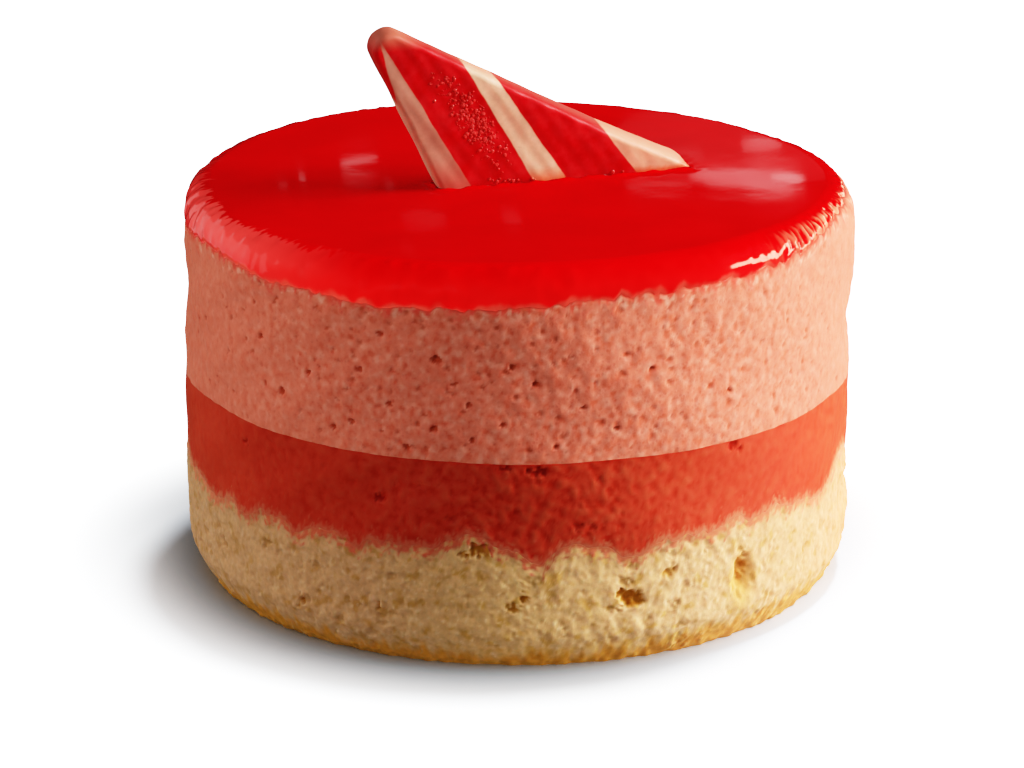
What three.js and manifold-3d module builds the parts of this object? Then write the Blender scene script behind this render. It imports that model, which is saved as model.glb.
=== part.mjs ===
// Small round strawberry mousse cake: a sponge base, a smooth strawberry layer, a light mousse,
// a red glaze over the top edge, and a striped chocolate plate standing in the glaze.
// Millimetres, +Z up. The origin is the centre of the flat underside, and -Y is the front.
import * as THREE from "three";
import { mergeVertices } from "three/addons/utils/BufferGeometryUtils.js";
import Module from "manifold-3d";

// Whole cake
const RADIUS = 37.5;
const BODY_HEIGHT = 45;
const SHOULDER_RADIUS = 3.1;
const GAP = 0.3; // between two pieces that lie on each other

// Heights of the layers at the side
const SPONGE_TOP = 14;
const STRAWBERRY_TOP = 23.6;

// Baked foot of the sponge, which turns in to the flat underside
const FOOT_HEIGHT = 4.5;
const FOOT_INSET = 2.4;
const FOOT_ROUNDNESS = 1.5;

// Torn upper edge of the sponge: [angle in degrees, half width in degrees, height], front half
const TORN_EDGE = [
  [-172, 7, 1.2],
  [-154, 8, -1.2],
  [-143, 4, -1.3],
  [-130, 4, -1.1],
  [-118, 3, -1.0],
  [-98, 6, 1.6],
  [-87, 4, -1.6],
  [-81, 3, 0.5],
  [-71, 5, -1.5],
  [-51, 3, 0.9],
  [-42, 4, 0.7],
  [-28, 6, -1.0],
  [-14, 10, 1.9],
];
const HIDDEN_TEETH = 15; // the same kind of edge round the back
const TOOTH_HEIGHT = 1.3;
const TORN_DEPTH = 8; // how far in from the side the edge stays uneven

// Uneven side: [angle in degrees, height, half width, half height, outward]
const SPONGE_FORMS = [
  [-71, 7.9, 3.0, 2.0, -2.4],
  [-65, 10.2, 1.8, 1.4, -0.8],
  [-49.5, 8, 2.0, 3.2, -1.1],
  [-97, 14.2, 3.0, 1.5, -1.2],
  [-89, 8.4, 1.6, 2.0, -0.7],
  [-4, 7.6, 15, 2.6, 0.62],
  [-4, 10.6, 13, 2.2, -0.45],
];
const BODY_FORMS = [
  [180, 15, 24, 20, 0.5],
  [-4, 39, 20, 8, 0.38],
  [-4, 29.5, 16, 4, -0.22],
];

// Crumbly relief of the sponge and slight waves of the softer layers
const CRAG_COUNT = 190;
const CRAG_SIZE = [2.2, 4.2];
const CRAG_OUT = 0.55;
const SOFT_WAVE = 0.09;
const SOFT_WAVES = [
  // [waves round the cake, turn for each mm of height, start]
  [9, 0.4, 0],
  [14, -0.7, 2],
];

// Glaze
const GLAZE_ON_TOP = 1.8;
const GLAZE_AT_LIP = 0.6;
const RIM_TILT = 0.28; // the rim is this much higher at the back left and lower at the back right
const RIM_TILT_ANGLE = 135;
const POOL_WAVE = 0.12;
const POOL_WAVES = [
  // [turn for each mm along X, along Y, start]
  [0.16, 0.05, 1],
  [-0.13, 0.17, 2.2],
];

// How far the glaze runs over the edge: [angle in degrees, distance along the outline]
const GLAZE_RUN = [
  [-171, 5.6],
  [-159, 5.2],
  [-146, 5.3],
  [-136, 5.9],
  [-126, 5.9],
  [-116, 6.4],
  [-104, 6.2],
  [-90, 5.9],
  [-78, 5.4],
  [-66, 5.3],
  [-54, 5.2],
  [-42, 5.0],
  [-33, 4.3],
  [-24, 3.3],
  [-12, 2.6],
  [15, 2.6],
  [45, 4.2],
  [80, 5.6],
  [112, 4.8],
  [140, 6.2],
  [165, 5.8],
];

// Chocolate plate. Its own frame is across, up along the face, and out of its front face.
const PLATE_CORNER = [-8.6, -6.2]; // front left corner where it enters the glaze
const PLATE_YAW = 18.5;
const PLATE_LEAN = 8; // towards the front
const PLATE_SUNK = 1.0; // below the glaze's surface
const PLATE_OUTLINE = [
  // [across, up, corner radius]: foot, blunt right end, knee and tip
  [0.5, -PLATE_SUNK, 0],
  [31, -PLATE_SUNK, 0],
  [29, 0.7, 2.6],
  [19, 5.4, 0],
  [-10.5, 21.4, 2.1],
];
const PLATE_THICK = 3.5; // at the left corner
const PLATE_WEDGE = 0.04; // added thickness for each mm to the right
const PLATE_BEVEL = 0.35;

// Fineness of the faceted surfaces
const SPONGE_SEGMENTS = 120;
const CREAM_SEGMENTS = 96;
const PLATE_ARC_STEPS = 7;

const COLOURS = {
  sponge: 0xdcb478,
  strawberry: 0xc23a28,
  mousse: 0xdb8468,
  glaze: 0xc80008,
  chocolate: 0xb3101a,
};

const wasm = await Module();
wasm.setup();

const radians = THREE.MathUtils.degToRad;

// A repeatable stream of numbers from 0 to 1
function seededRandom(seed) {
  let state = seed;
  return () => {
    state = (state + 0x6d2b79f5) | 0;
    let mixed = Math.imul(state ^ (state >>> 15), 1 | state);
    mixed = (mixed + Math.imul(mixed ^ (mixed >>> 7), 61 | mixed)) ^ mixed;
    return ((mixed ^ (mixed >>> 14)) >>> 0) / 4294967296;
  };
}

// Difference between two angles in degrees, from -180 to 180
function turnBetween(from, to) {
  return THREE.MathUtils.euclideanModulo(to - from + 180, 360) - 180;
}

// A smooth bump: 1 at the centre, 0 from a distance of 1
function bump(distanceSquared) {
  return distanceSquared < 1 ? (1 - distanceSquared) ** 2 : 0;
}

// Relief of a list of forms at a place on the side
function reliefOf(forms, angle, height) {
  let outward = 0;
  for (const [atAngle, atHeight, halfWidth, halfHeight, amount] of forms) {
    const across = (radians(turnBetween(atAngle, angle)) * RADIUS) / halfWidth;
    const up = (height - atHeight) / halfHeight;
    outward += amount * bump(across * across + up * up);
  }
  return outward;
}

// Crags of the crumb, drawn over the whole side of the sponge
function drawCrags() {
  const random = seededRandom(11);
  return Array.from({ length: CRAG_COUNT }, () => {
    const size = THREE.MathUtils.lerp(...CRAG_SIZE, random());
    const place = [random() * 360 - 180, 1 + random() * SPONGE_TOP];
    return [...place, size, size * 0.7, CRAG_OUT * (random() * 2 - 1)];
  });
}

// Teeth of the torn edge: those at the front are placed, those at the back are drawn
function drawTeeth() {
  const random = seededRandom(5);
  const hidden = Array.from({ length: HIDDEN_TEETH }, (_, index) => {
    const angle = 4 + ((index + 0.2 + 0.6 * random()) * 174) / HIDDEN_TEETH;
    return [angle, 4 + 4 * random(), TOOTH_HEIGHT * (random() * 2.2 - 1.1)];
  });
  return [...TORN_EDGE, ...hidden];
}

const crags = drawCrags();
const teeth = drawTeeth();

// Height of the surface where sponge and strawberry layer meet
function spongeTop(angle, radius) {
  let height = 0;
  for (const [atAngle, halfWidth, amount] of teeth) {
    height += amount * bump((turnBetween(atAngle, angle) / halfWidth) ** 2);
  }
  const fade = THREE.MathUtils.smoothstep(radius, RADIUS - TORN_DEPTH, RADIUS - 1);
  return SPONGE_TOP + height * fade;
}

// Slight waves of the two smooth layers
function softWave(angle, height) {
  const waves = SOFT_WAVES.map(([around, rise, start]) =>
    Math.sin(around * radians(angle) + rise * height + start));
  return SOFT_WAVE * (waves[0] + waves[1]);
}

// Radius of the side of the cake at an angle and height
function sideRadius(angle, height) {
  return RADIUS + reliefOf(BODY_FORMS, angle, height) + softWave(angle, height);
}

function spongeRadius(angle, height) {
  const below = Math.max(0, (FOOT_HEIGHT - height) / FOOT_HEIGHT);
  const foot = FOOT_INSET * below ** FOOT_ROUNDNESS;
  const calm = THREE.MathUtils.smoothstep(height, 0, 2);
  const crumb = reliefOf(crags, angle, height) + reliefOf(SPONGE_FORMS, angle, height);
  return RADIUS - foot + crumb * calm + reliefOf(BODY_FORMS, angle, height);
}

// The rings' edge shared by the sponge and the strawberry layer
function tornEdge(angle) {
  const height = spongeTop(angle, RADIUS);
  return [sideRadius(angle, height), height];
}

// Distance that the glaze runs over the edge at an angle, smooth through the listed places
const glazeRunCurve = new THREE.CatmullRomCurve3(
  GLAZE_RUN.map(([angle, run]) => new THREE.Vector3(angle, run, 0)),
);
function glazeRun(angle) {
  const count = GLAZE_RUN.length;
  const next = GLAZE_RUN.findIndex(([at]) => at > angle);
  const after = next < 0 ? 0 : next;
  const before = (after + count - 1) % count;
  const span = THREE.MathUtils.euclideanModulo(GLAZE_RUN[after][0] - GLAZE_RUN[before][0], 360);
  const share = THREE.MathUtils.euclideanModulo(angle - GLAZE_RUN[before][0], 360) / span;
  if (after === 0) {
    return THREE.MathUtils.lerp(GLAZE_RUN[before][1], GLAZE_RUN[0][1], share);
  }
  return glazeRunCurve.getPoint((before + share) / (count - 1)).y;
}

// Glaze thickness at a distance over the edge, thinning to the lip
function glazeThickness(along, run) {
  const share = THREE.MathUtils.clamp(along / run, 0, 1);
  return THREE.MathUtils.lerp(GLAZE_ON_TOP, GLAZE_AT_LIP, share);
}

// Small height changes of the top
function topShift(angle, radius) {
  const tilt = RIM_TILT * Math.cos(2 * radians(angle - RIM_TILT_ANGLE));
  const x = radius * Math.cos(radians(angle));
  const y = radius * Math.sin(radians(angle));
  const waves = POOL_WAVES.map(([alongX, alongY, start]) =>
    Math.sin(alongX * x + alongY * y + start));
  const inside = THREE.MathUtils.smoothstep(RADIUS - radius, 2, 8);
  return tilt * (radius / RADIUS) ** 2 + POOL_WAVE * inside * (waves[0] + waves[1]);
}

// Point of the cake's outline at a distance from the top's flat edge, moved in by an inset.
// Distances below 0 lie on the flat top, up to a quarter turn on the shoulder, then on the side.
const FLAT_RADIUS = RADIUS - SHOULDER_RADIUS;
const SHOULDER_LENGTH = (SHOULDER_RADIUS * Math.PI) / 2;
function outlinePoint(angle, along, inset) {
  const turn = THREE.MathUtils.clamp(along / SHOULDER_RADIUS, 0, Math.PI / 2);
  const reach = SHOULDER_RADIUS - inset;
  const down = Math.max(0, along - SHOULDER_LENGTH);
  const radius = FLAT_RADIUS + Math.min(along, 0) + reach * Math.sin(turn);
  const height = BODY_HEIGHT - SHOULDER_RADIUS + reach * Math.cos(turn) - down;
  const outward = sideRadius(angle, height) - RADIUS;
  const lifted = THREE.MathUtils.smoothstep(height, BODY_HEIGHT - 9, BODY_HEIGHT - 3);
  return [radius + outward * (radius / RADIUS) ** 4, height + topShift(angle, radius) * lifted];
}

// Closed body from rings of points round the axis, from its lower centre to its upper centre.
// Each ring gives radius and height for an angle in degrees.
function ringBody(lowCentre, rings, highCentre, segments) {
  const points = [0, 0, lowCentre];
  for (const ring of rings) {
    for (let index = 0; index < segments; index += 1) {
      const angle = (index * 360) / segments - 180;
      const [radius, height] = ring(angle);
      points.push(radius * Math.cos(radians(angle)), radius * Math.sin(radians(angle)), height);
    }
  }
  points.push(0, 0, highCentre);
  const faces = [];
  const last = 1 + rings.length * segments;
  const topRing = last - segments;
  for (let index = 0; index < segments; index += 1) {
    const next = (index + 1) % segments;
    faces.push(0, 1 + next, 1 + index);
    for (let ring = 1; ring < topRing; ring += segments) {
      const above = ring + segments;
      faces.push(ring + index, ring + next, above + next);
      faces.push(ring + index, above + next, above + index);
    }
    faces.push(topRing + index, topRing + next, last);
  }
  const geometry = new THREE.BufferGeometry();
  geometry.setAttribute("position", new THREE.Float32BufferAttribute(points, 3));
  geometry.setIndex(faces);
  return geometry;
}

// Whole numbers from 0 to count - 1, each turned into a share from 0 to 1
function shares(count) {
  return Array.from({ length: count }, (_, index) => index / (count - 1));
}

const INTERFACE_RADII = [20, 30, 33.5];

function spongeGeometry() {
  const sideHeights = [0, 0.9, 2.1, 3.5, 5.0, 6.5, 8.0, 9.5, 11.0, 12.3];
  const side = sideHeights.map((height) => (angle) => {
    const level = (height * spongeTop(angle, RADIUS)) / SPONGE_TOP;
    return [spongeRadius(angle, level), level];
  });
  const top = [...INTERFACE_RADII].reverse().map((radius) => (angle) => [
    radius,
    spongeTop(angle, radius),
  ]);
  return ringBody(0, [...side, tornEdge, ...top], SPONGE_TOP, SPONGE_SEGMENTS);
}

function strawberryGeometry() {
  const bottom = INTERFACE_RADII.map((radius) => (angle) => [
    radius,
    spongeTop(angle, radius) + GAP,
  ]);
  const edge = (angle) => {
    const [radius, height] = tornEdge(angle);
    return [radius, height + GAP];
  };
  const side = shares(6).slice(1).map((share) => (angle) => {
    const height = THREE.MathUtils.lerp(tornEdge(angle)[1] + GAP, STRAWBERRY_TOP, share);
    return [sideRadius(angle, height), height];
  });
  const rings = [...bottom, edge, ...side];
  return ringBody(SPONGE_TOP + GAP, rings, STRAWBERRY_TOP, SPONGE_SEGMENTS);
}

const LIP_SHARES = [1, 0.7, 0.35, 0]; // from the glaze's lip back to the top's flat edge

function mousseGeometry() {
  const low = STRAWBERRY_TOP + GAP;
  const lowAlong = SHOULDER_LENGTH + BODY_HEIGHT - SHOULDER_RADIUS - low;
  const midAlong = 8.5;
  const lowerSide = shares(6).map((share) => (angle) =>
    outlinePoint(angle, THREE.MathUtils.lerp(lowAlong, midAlong, share), 0));
  const upperSide = shares(4).slice(1).map((share) => (angle) =>
    outlinePoint(angle, THREE.MathUtils.lerp(midAlong, glazeRun(angle) + GAP, share), 0));
  const underGlaze = LIP_SHARES.map((share) => (angle) => {
    const run = glazeRun(angle);
    const along = share === 1 ? run + GAP : run * share;
    return outlinePoint(angle, along, glazeThickness(along, run) + GAP);
  });
  const top = (angle) => outlinePoint(angle, -FLAT_RADIUS / 2, GLAZE_ON_TOP + GAP);
  const centre = outlinePoint(0, -FLAT_RADIUS, GLAZE_ON_TOP + GAP)[1];
  return ringBody(low, [...lowerSide, ...upperSide, ...underGlaze, top], centre, CREAM_SEGMENTS);
}

function glazeGeometry() {
  const inner = [...LIP_SHARES].reverse().map((share) => (angle) => {
    const run = glazeRun(angle);
    return outlinePoint(angle, run * share, glazeThickness(run * share, run));
  });
  const outer = shares(6).map((share) => (angle) =>
    outlinePoint(angle, glazeRun(angle) * (1 - share), 0));
  const top = [4.5, 10, 17, 25.5].map((along) => (angle) => outlinePoint(angle, -along, 0));
  const lowCentre = outlinePoint(0, -FLAT_RADIUS, GLAZE_ON_TOP)[1];
  const highCentre = outlinePoint(0, -FLAT_RADIUS, 0)[1];
  const innerTop = (angle) => outlinePoint(angle, -FLAT_RADIUS / 2, GLAZE_ON_TOP);
  const rings = [innerTop, ...inner, ...outer, ...top];
  return ringBody(lowCentre, rings, highCentre, CREAM_SEGMENTS);
}

// Corners of a convex outline moved outward by a margin, anticlockwise
function grownCorners(corners, margin) {
  return corners.map((corner, index) => {
    const before = corners[(index + corners.length - 1) % corners.length];
    const after = corners[(index + 1) % corners.length];
    const arriving = corner.clone().sub(before).normalize();
    const leaving = after.clone().sub(corner).normalize();
    const bisector = new THREE.Vector2(arriving.y + leaving.y, -arriving.x - leaving.x).normalize();
    const widening = bisector.dot(new THREE.Vector2(arriving.y, -arriving.x));
    return corner.clone().addScaledVector(bisector, margin / widening);
  });
}

// Outline with its corners rounded by arcs
function roundedOutline(corners, radii, steps) {
  const points = [];
  corners.forEach((corner, index) => {
    const radius = radii[index];
    if (radius === 0) {
      points.push(corner);
      return;
    }
    const before = corners[(index + corners.length - 1) % corners.length];
    const after = corners[(index + 1) % corners.length];
    const toBefore = before.clone().sub(corner).normalize();
    const toAfter = after.clone().sub(corner).normalize();
    const half = toBefore.angleTo(toAfter) / 2;
    const middle = toBefore.clone().add(toAfter).normalize();
    const centre = corner.clone().addScaledVector(middle, radius / Math.sin(half));
    const touch = corner.clone().addScaledVector(toBefore, radius / Math.tan(half));
    const start = touch.sub(centre).angle();
    const sweep = Math.PI - 2 * half;
    for (let step = 0; step <= steps; step += 1) {
      const turn = start + (sweep * step) / steps;
      const spoke = new THREE.Vector2(Math.cos(turn), Math.sin(turn));
      points.push(centre.clone().addScaledVector(spoke, radius));
    }
  });
  return points;
}

// The plate, or with a margin the pocket that it needs
function plateGeometry(margin) {
  const bevelled = margin === 0;
  const growth = bevelled ? -PLATE_BEVEL : margin;
  const corners = PLATE_OUTLINE.map(([across, up]) => new THREE.Vector2(across, up));
  const radii = PLATE_OUTLINE.map(([, , radius]) => (radius > 0 ? radius + growth : 0));
  const outline = roundedOutline(grownCorners(corners, growth), radii, PLATE_ARC_STEPS);
  const bevelShare = bevelled ? PLATE_BEVEL / PLATE_THICK : 0;
  const geometry = new THREE.ExtrudeGeometry(new THREE.Shape(outline), {
    depth: 1,
    bevelEnabled: bevelled,
    bevelSize: PLATE_BEVEL,
    bevelThickness: bevelShare,
    bevelSegments: 2,
  });
  const place = geometry.attributes.position;
  for (let index = 0; index < place.count; index += 1) {
    const thickness = PLATE_THICK + PLATE_WEDGE * place.getX(index);
    const share = (place.getZ(index) + bevelShare) / (1 + 2 * bevelShare);
    place.setZ(index, share * (thickness + 2 * margin) - thickness - margin);
  }
  return geometry.applyMatrix4(plateMatrix());
}

// Places the plate's own frame in the cake
function plateMatrix() {
  const yaw = radians(PLATE_YAW);
  const across = new THREE.Vector3(Math.cos(yaw), Math.sin(yaw), 0);
  const towardsFront = new THREE.Vector3(Math.sin(yaw), -Math.cos(yaw), 0);
  const up = new THREE.Vector3(0, 0, Math.cos(radians(PLATE_LEAN)));
  up.addScaledVector(towardsFront, Math.sin(radians(PLATE_LEAN)));
  const outOfFace = across.clone().cross(up);
  const matrix = new THREE.Matrix4().makeBasis(across, up, outOfFace);
  return matrix.setPosition(...PLATE_CORNER, BODY_HEIGHT);
}

function toSolid(geometry) {
  const bare = geometry.clone();
  bare.deleteAttribute("normal");
  bare.deleteAttribute("uv");
  const merged = mergeVertices(bare, 1e-4);
  const vertProperties = new Float32Array(merged.attributes.position.array);
  const triVerts = new Uint32Array(merged.index.array);
  return new wasm.Manifold(new wasm.Mesh({ numProp: 3, vertProperties, triVerts }));
}

function toGeometry(solid) {
  const { vertProperties, triVerts } = solid.getMesh();
  const geometry = new THREE.BufferGeometry();
  geometry.setAttribute("position", new THREE.Float32BufferAttribute(vertProperties, 3));
  geometry.setIndex(Array.from(triVerts));
  return geometry;
}

function namedMesh(name, geometry, color, roughness) {
  geometry.computeVertexNormals();
  const material = new THREE.MeshStandardMaterial({ color, roughness, metalness: 0, flatShading: true });
  const mesh = new THREE.Mesh(geometry, material);
  mesh.name = name;
  return mesh;
}

const pocket = toSolid(plateGeometry(GAP));
const glaze = toGeometry(toSolid(glazeGeometry()).subtract(pocket));

const group = new THREE.Group();
group.add(namedMesh("sponge_base", spongeGeometry(), COLOURS.sponge, 0.95));
group.add(namedMesh("strawberry_layer", strawberryGeometry(), COLOURS.strawberry, 0.55));
group.add(namedMesh("mousse_layer", mousseGeometry(), COLOURS.mousse, 0.7));
group.add(namedMesh("glaze", glaze, COLOURS.glaze, 0.08));
group.add(namedMesh("chocolate_shard", toGeometry(toSolid(plateGeometry(0))), COLOURS.chocolate, 0.4));

export default group;
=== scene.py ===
import bpy
import numpy as np
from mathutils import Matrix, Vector


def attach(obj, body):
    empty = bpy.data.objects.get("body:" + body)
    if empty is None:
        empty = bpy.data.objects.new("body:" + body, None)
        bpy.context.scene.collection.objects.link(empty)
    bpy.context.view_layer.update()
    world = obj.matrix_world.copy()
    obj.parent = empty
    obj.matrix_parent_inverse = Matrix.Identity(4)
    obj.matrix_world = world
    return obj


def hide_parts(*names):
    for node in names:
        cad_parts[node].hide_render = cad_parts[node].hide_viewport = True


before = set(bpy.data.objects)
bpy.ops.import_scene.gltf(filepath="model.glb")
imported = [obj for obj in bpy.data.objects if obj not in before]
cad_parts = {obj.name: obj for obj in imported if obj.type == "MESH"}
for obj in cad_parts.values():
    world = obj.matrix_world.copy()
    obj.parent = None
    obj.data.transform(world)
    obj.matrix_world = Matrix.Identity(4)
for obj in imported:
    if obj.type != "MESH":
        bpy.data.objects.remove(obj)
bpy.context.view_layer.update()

MM = 0.001

# Whole cake
RADIUS = 37.5
RING = 2 * np.pi * RADIUS
BODY_HEIGHT = 45.0
SHOULDER_RADIUS = 3.1
FLAT_RADIUS = RADIUS - SHOULDER_RADIUS
SHOULDER_LENGTH = SHOULDER_RADIUS * np.pi / 2
SIDE_LENGTH = SHOULDER_LENGTH + BODY_HEIGHT - SHOULDER_RADIUS  # from the edge of the flat top to the floor
SEAM = 0.02  # hairline between two pieces that lie on each other

# Heights of the layers at the side
SPONGE_TOP = 14.0
BERRY_TOP = 23.7

# Baked foot of the sponge
FOOT_HEIGHT = 4.5
FOOT_INSET = 2.4
FOOT_ROUNDNESS = 1.5

# Torn upper edge of the sponge: angle, half width in degrees, height
TORN_EDGE = [
    (-172, 7, 1.2), (-154, 8, -1.2), (-143, 4, -1.3), (-130, 4, -1.1), (-118, 3, -1.0),
    (-98, 6, 1.6), (-87, 4, -1.6), (-81, 3, 0.5), (-71, 5, -1.5), (-51, 3, 0.9),
    (-42, 4, 0.7), (-28, 6, -1.0), (-14, 10, 1.9),
]
HIDDEN_TEETH = 15
TOOTH_HEIGHT = 1.3
TORN_DEPTH = 8.0

# Forms of the side: angle, height, half width, half height, outward
SPONGE_FORMS = [(-49.5, 8, 2, 3.2, -0.8), (-4, 7.6, 15, 2.6, 0.62), (-4, 10.6, 13, 2.2, -0.45)]
BODY_FORMS = [(180, 15, 24, 20, 0.5), (-4, 39, 20, 8, 0.38), (-4, 29.5, 16, 4, -0.22)]
WAVE_HEIGHT = 0.09

# Glaze, and how far it runs over the edge: angle, distance
RIM_TILT = 0.28
RIM_TILT_ANGLE = 135.0
GLAZE_ON_TOP = 1.8
GLAZE_AT_LIP = 0.12
GLAZE_SWELL = 0.05  # how much fuller the glaze is than its solid
GLAZE_RUN = [
    (-171, 5.6), (-159, 5.2), (-146, 5.3), (-136, 5.9), (-126, 5.9), (-116, 6.4), (-104, 6.2),
    (-90, 5.9), (-78, 5.4), (-66, 5.3), (-54, 5.2), (-42, 5.0), (-33, 4.3), (-24, 3.3),
    (-12, 2.6), (15, 2.6), (45, 4.2), (80, 5.6), (112, 4.8), (140, 6.2), (165, 5.8),
]

# Chocolate plate, in its own frame: across, up along the face, and out of its front face
PLATE_CORNER = (-8.6, -6.2, BODY_HEIGHT)
PLATE_YAW = 18.5
PLATE_LEAN = 8.0
PLATE_OUTLINE = [
    # across, up, corner radius
    (0.5, -1.0, 0.6), (31.0, -1.0, 0.6), (29.0, 0.7, 2.6), (19.0, 5.6, 0.0), (-11.0, 21.75, 2.0),
]
PLATE_THICK = 3.5
PLATE_WEDGE = 0.04
PLATE_ROUND = 0.6

# Camera, from the perspective of the outlines
CAMERA_TARGET = (-0.7242, 0.0, 20.4156)
CAMERA_DISTANCE = 466.85
CAMERA_ELEVATION = 18.067
CAMERA_LENS = 143.455


def ramp(value, low, high):
    share = np.clip((value - low) / (high - low), 0, 1)
    return share * share * (3 - 2 * share)


def mix(first, second, share):
    return first + (second - first) * share


def join(*parts):
    return np.concatenate(parts)


def bump(distance_squared):
    return np.where(distance_squared < 1, (1 - np.minimum(distance_squared, 1)) ** 2, 0)


def turn_from(start):
    """Turn from an angle to each of the angles round the cake, from -180 to 180."""
    return (ANGLES - start + 180) % 360 - 180


def near(middle, half_width):
    """1 at an angle round the cake, and 0 from half a width on."""
    return bump((turn_from(middle) / half_width) ** 2)


def arc(angle):
    return np.radians(angle) * RADIUS


def relief_of(forms, height):
    outward = np.zeros(height.shape)
    for at_angle, at_height, half_width, half_height, amount in forms:
        across = arc(turn_from(at_angle)) / half_width
        up = (height - at_height) / half_height
        outward += amount * bump(across**2 + up**2)
    return outward


# Noise on grids


def passed(field, wave, shortest, longest):
    """Spectrum of a field with the waves between two lengths alone."""
    return field * (np.exp(-((wave * shortest) ** 2)) * (1 - np.exp(-((wave * longest) ** 2))))


def band_noise(shape, spacing, shortest, longest, seed):
    """Noise of unit spread with waves between two lengths, seamless round the cake."""
    random = np.random.default_rng(seed)
    rows = shape[0] + int(2 * longest / spacing[0])
    field = np.fft.rfft2(random.standard_normal((rows, shape[1])))
    wave = np.hypot(np.fft.fftfreq(rows, spacing[0])[:, None], np.fft.rfftfreq(shape[1], spacing[1]))
    noise = np.fft.irfft2(passed(field, wave, shortest, longest), s=(rows, shape[1]))[: shape[0]]
    return noise / noise.std()


def ring_noise(shortest, longest, seed):
    """The same kind of noise along one closed ring."""
    field = np.fft.rfft(np.random.default_rng(seed).standard_normal(SEGMENTS))
    wave = np.fft.rfftfreq(SEGMENTS, RING_STEP)
    noise = np.fft.irfft(passed(field, wave, shortest, longest), n=SEGMENTS)
    return noise / noise.std()


def side_noise(up, shortest, longest, seed):
    """Noise round the side that keeps its place where the rows of points bend."""
    rows = (up - up.min()) / FIELD_STEP
    count = int(rows.max()) + 2
    field = band_noise((count, SEGMENTS), (FIELD_STEP, RING_STEP), shortest, longest, seed)
    low = np.clip(rows.astype(int), 0, count - 2)
    share = rows - low
    columns = np.arange(SEGMENTS)[None, :]
    return field[low, columns] * (1 - share) + field[low + 1, columns] * share


def scatter(draw, count, half_size, height, form, spread=0.0):
    """Marks at random places. Half size and height: the least, what is added, and the power of its draw."""
    marks = []
    for _ in range(count):
        size = half_size[0] + half_size[1] * draw() ** half_size[2]
        across = (draw() - 0.5) * RING
        up = height[0] + height[1] * draw() ** height[2]
        width = form[0] + spread * draw() if spread else form[0]
        marks.append((across, up, size * width, size * form[1], size * form[2]))
    return marks


def placed(marks):
    """Marks given by their angle, as marks given by their place across."""
    return [(arc(angle), *rest) for angle, *rest in marks]


def stamped(across, up, marks, squareness):
    """Deepest mark at each grid point."""
    field = np.zeros(up.shape)
    for at_across, at_up, half_width, half_height, depth in marks:
        middle = int(round((at_across + RING / 2) / RING_STEP))
        reach = int(half_width / RING_STEP) + 3
        chosen = np.arange(middle - reach, middle + reach + 1) % SEGMENTS
        part = (across[:, chosen] - at_across + RING / 2) % RING - RING / 2
        distance = (part / half_width) ** 2 + ((up[:, chosen] - at_up) / half_height) ** 2
        field[:, chosen] = np.maximum(field[:, chosen], depth * np.clip(1 - distance, 0, 1) ** squareness)
    return field


# Cake surfaces

SEGMENTS = 1080
ANGLES = np.arange(SEGMENTS) * 360.0 / SEGMENTS - 180.0
TURNS = np.radians(ANGLES)
ARCS = arc(ANGLES)
RING_STEP = RING / SEGMENTS
FIELD_STEP = 0.18


def rows_to_edges(count, low, high):
    """Even shares from 0 to 1, with a narrow row at the ends that turn a corner."""
    inner = np.linspace(0, 1, count - low - high)[1:-1]
    start = [0.0, 0.002] if low else [0.0]
    end = [0.998, 1.0] if high else [1.0]
    return join(start, inner, end)[:, None]


def seeded_draws(seed):
    """Endless even draws from 0 to 1, the same ones as in the solids."""
    whole = 0xFFFFFFFF
    state = seed
    while True:
        state = (state + 0x6D2B79F5) & whole
        mixed = ((state ^ (state >> 15)) * (1 | state)) & whole
        mixed = ((mixed + (((mixed ^ (mixed >> 7)) * (61 | mixed)) & whole)) & whole) ^ mixed
        yield (mixed ^ (mixed >> 14)) / 4294967296


def draw_teeth():
    draws = seeded_draws(5)
    hidden = [
        (4 + (index + 0.2 + 0.6 * next(draws)) * 174 / HIDDEN_TEETH, 4 + 4 * next(draws),
         TOOTH_HEIGHT * (next(draws) * 2.2 - 1.1))
        for index in range(HIDDEN_TEETH)
    ]
    return TORN_EDGE + hidden


TEETH = draw_teeth()
FINE_EDGE = 0.12 * ring_noise(1.3, 4.5, 21)


def sponge_top(radius):
    """Height of the surface where sponge and strawberry layer meet, for every angle."""
    height = np.zeros(SEGMENTS)
    for at_angle, half_width, amount in TEETH:
        height += amount * near(at_angle, half_width)
    fade = ramp(radius, RADIUS - TORN_DEPTH, RADIUS - 1)
    return SPONGE_TOP + (height + FINE_EDGE) * fade


def side_radius(height):
    waves = np.sin(9 * TURNS + 0.4 * height) + np.sin(14 * TURNS - 0.7 * height + 2)
    return RADIUS + relief_of(BODY_FORMS, height) + WAVE_HEIGHT * waves


def foot_inset(height):
    return FOOT_INSET * np.clip((FOOT_HEIGHT - height) / FOOT_HEIGHT, 0, 1) ** FOOT_ROUNDNESS


def glaze_run(angle):
    """Distance that the glaze runs over the edge, smooth through the listed places."""
    at = np.array([place for place, _ in GLAZE_RUN], float)
    run = np.tile([length for _, length in GLAZE_RUN], 3)
    at = join(at - 360, at, at + 360)
    slope = np.gradient(run, at)
    after = np.clip(np.searchsorted(at, angle, side="right"), 1, len(at) - 1)
    width = at[after] - at[after - 1]
    share = (angle - at[after - 1]) / width
    low = (1 + 2 * share) * (1 - share) ** 2 * run[after - 1]
    low = low + share * (1 - share) ** 2 * width * slope[after - 1]
    high = share**2 * (3 - 2 * share) * run[after]
    return low + high - share**2 * (1 - share) * width * slope[after]


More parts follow.
